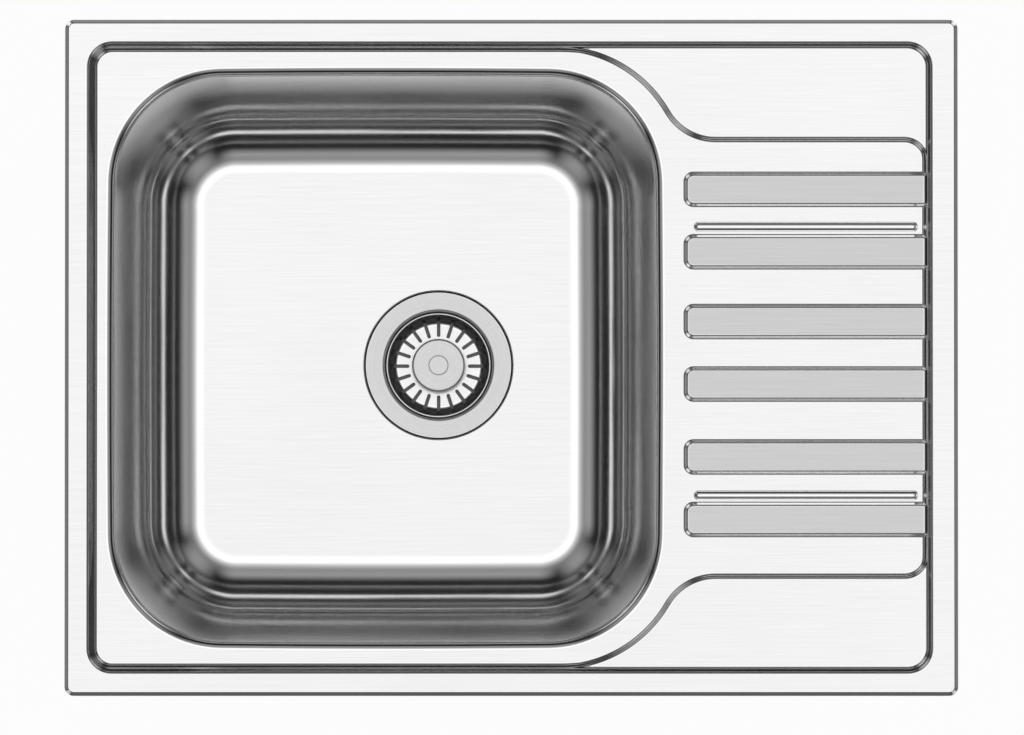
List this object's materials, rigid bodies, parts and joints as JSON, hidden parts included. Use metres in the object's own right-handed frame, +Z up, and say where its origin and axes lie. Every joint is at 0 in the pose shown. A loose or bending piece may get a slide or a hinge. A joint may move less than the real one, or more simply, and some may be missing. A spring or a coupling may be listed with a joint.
{
  "type": "kitchen sink with drainboard",
  "caption": "Stainless inset kitchen sink with a deep bowl, a ribbed drainboard, a lift-out basket strainer and swing-out worktop clips.",
  "frame": {"origin": "middle of the rim in plan, on the worktop surface that the rim rests on", "axes": "+X along the sink towards the drainboard, +Y towards the wall side, +Z up out of the worktop"},
  "size_m": [0.66, 0.5, 0.2775],
  "materials": {
    "brushed_stainless": "fine brushed, along the sink's length",
    "turned_stainless": "turned, bright",
    "rail_steel": "plain rolled strip",
    "zinc_steel": "zinc plated",
    "foam_seal": "closed-cell foam",
    "sound_pad": "matt bitumen",
    "black_rubber": "smooth",
    "grey_plastic": "moulded"
  },
  "bodies": {
    "sink": {"deck_pressing": "brushed_stainless", "bowl_pressing": "brushed_stainless", "strainer_cup": "turned_stainless", "clamp_screw": "turned_stainless", "clamp_nut": "turned_stainless", "rim_seal": "foam_seal", "sound_pad": "sound_pad", "flange_gasket": "black_rubber", "housing_gasket": "black_rubber", "strainer_housing": "grey_plastic", "clamp_bolts": "zinc_steel", "clip_rail_left": "rail_steel", "clip_rail_right": "rail_steel", "clip_rail_front": "rail_steel", "clip_rail_back": "rail_steel", "short_rail_front": "rail_steel", "short_rail_back": "rail_steel"},
    "nut_1": {"wing_nut_1": "zinc_steel"},
    "claw_1": {"clamp_claw_1": "zinc_steel"},
    "nut_2": {"wing_nut_2": "zinc_steel"},
    "claw_2": {"clamp_claw_2": "zinc_steel"},
    "nut_3": {"wing_nut_3": "zinc_steel"},
    "claw_3": {"clamp_claw_3": "zinc_steel"},
    "nut_4": {"wing_nut_4": "zinc_steel"},
    "claw_4": {"clamp_claw_4": "zinc_steel"},
    "nut_5": {"wing_nut_5": "zinc_steel"},
    "claw_5": {"clamp_claw_5": "zinc_steel"},
    "nut_6": {"wing_nut_6": "zinc_steel"},
    "claw_6": {"clamp_claw_6": "zinc_steel"},
    "nut_7": {"wing_nut_7": "zinc_steel"},
    "claw_7": {"clamp_claw_7": "zinc_steel"},
    "nut_8": {"wing_nut_8": "zinc_steel"},
    "claw_8": {"clamp_claw_8": "zinc_steel"},
    "stopper": {"stopper": "black_rubber", "stopper_washer": "turned_stainless"},
    "basket": {"basket_cup": "turned_stainless", "basket_knob": "turned_stainless", "knob_cap": "turned_stainless", "basket_screw": "turned_stainless", "basket_nut": "turned_stainless"}
  },
  "joints": [
    {"name": "nut_1_climb", "type": "slide", "parent": "sink", "child": "nut_1", "axis": [0, 0, 1], "range_m": [0, 0.018]},
    {"name": "claw_1_swing", "type": "hinge", "parent": "nut_1", "child": "claw_1", "pos_m": [-0.215, 0.23253, -0.058], "axis": [0, 0, 1], "range_deg": [0, 90]},
    {"name": "nut_2_climb", "type": "slide", "parent": "sink", "child": "nut_2", "axis": [0, 0, 1], "range_m": [0, 0.018]},
    {"name": "claw_2_swing", "type": "hinge", "parent": "nut_2", "child": "claw_2", "pos_m": [-0.005, 0.23253, -0.058], "axis": [0, 0, 1], "range_deg": [0, 90]},
    {"name": "nut_3_climb", "type": "slide", "parent": "sink", "child": "nut_3", "axis": [0, 0, 1], "range_m": [0, 0.018]},
    {"name": "claw_3_swing", "type": "hinge", "parent": "nut_3", "child": "claw_3", "pos_m": [0.215, 0.23253, -0.058], "axis": [0, 0, 1], "range_deg": [0, 90]},
    {"name": "nut_4_climb", "type": "slide", "parent": "sink", "child": "nut_4", "axis": [0, 0, 1], "range_m": [0, 0.018]},
    {"name": "claw_4_swing", "type": "hinge", "parent": "nut_4", "child": "claw_4", "pos_m": [-0.215, -0.23212, -0.058], "axis": [0, 0, 1], "range_deg": [0, 90]},
    {"name": "nut_5_climb", "type": "slide", "parent": "sink", "child": "nut_5", "axis": [0, 0, 1], "range_m": [0, 0.018]},
    {"name": "claw_5_swing", "type": "hinge", "parent": "nut_5", "child": "claw_5", "pos_m": [-0.005, -0.23212, -0.058], "axis": [0, 0, 1], "range_deg": [0, 90]},
    {"name": "nut_6_climb", "type": "slide", "parent": "sink", "child": "nut_6", "axis": [0, 0, 1], "range_m": [0, 0.018]},
    {"name": "claw_6_swing", "type": "hinge", "parent": "nut_6", "child": "claw_6", "pos_m": [0.215, -0.23212, -0.058], "axis": [0, 0, 1], "range_deg": [0, 90]},
    {"name": "nut_7_climb", "type": "slide", "parent": "sink", "child": "nut_7", "axis": [0, 0, 1], "range_m": [0, 0.018]},
    {"name": "claw_7_swing", "type": "hinge", "parent": "nut_7", "child": "claw_7", "pos_m": [-0.31233, 0, -0.058], "axis": [0, 0, 1], "range_deg": [0, 90]},
    {"name": "nut_8_climb", "type": "slide", "parent": "sink", "child": "nut_8", "axis": [0, 0, 1], "range_m": [0, 0.018]},
    {"name": "claw_8_swing", "type": "hinge", "parent": "nut_8", "child": "claw_8", "pos_m": [0.31002, 0, -0.058], "axis": [0, 0, 1], "range_deg": [0, 90]},
    {"name": "basket_lift", "type": "slide", "parent": "sink", "child": "stopper", "axis": [0, 0, 1], "range_m": [0, 0.24]},
    {"name": "basket_turn", "type": "hinge", "parent": "stopper", "child": "basket", "pos_m": [-0.055, 0, -0.1835], "axis": [0, 0, 1], "continuous": true}
  ]
}
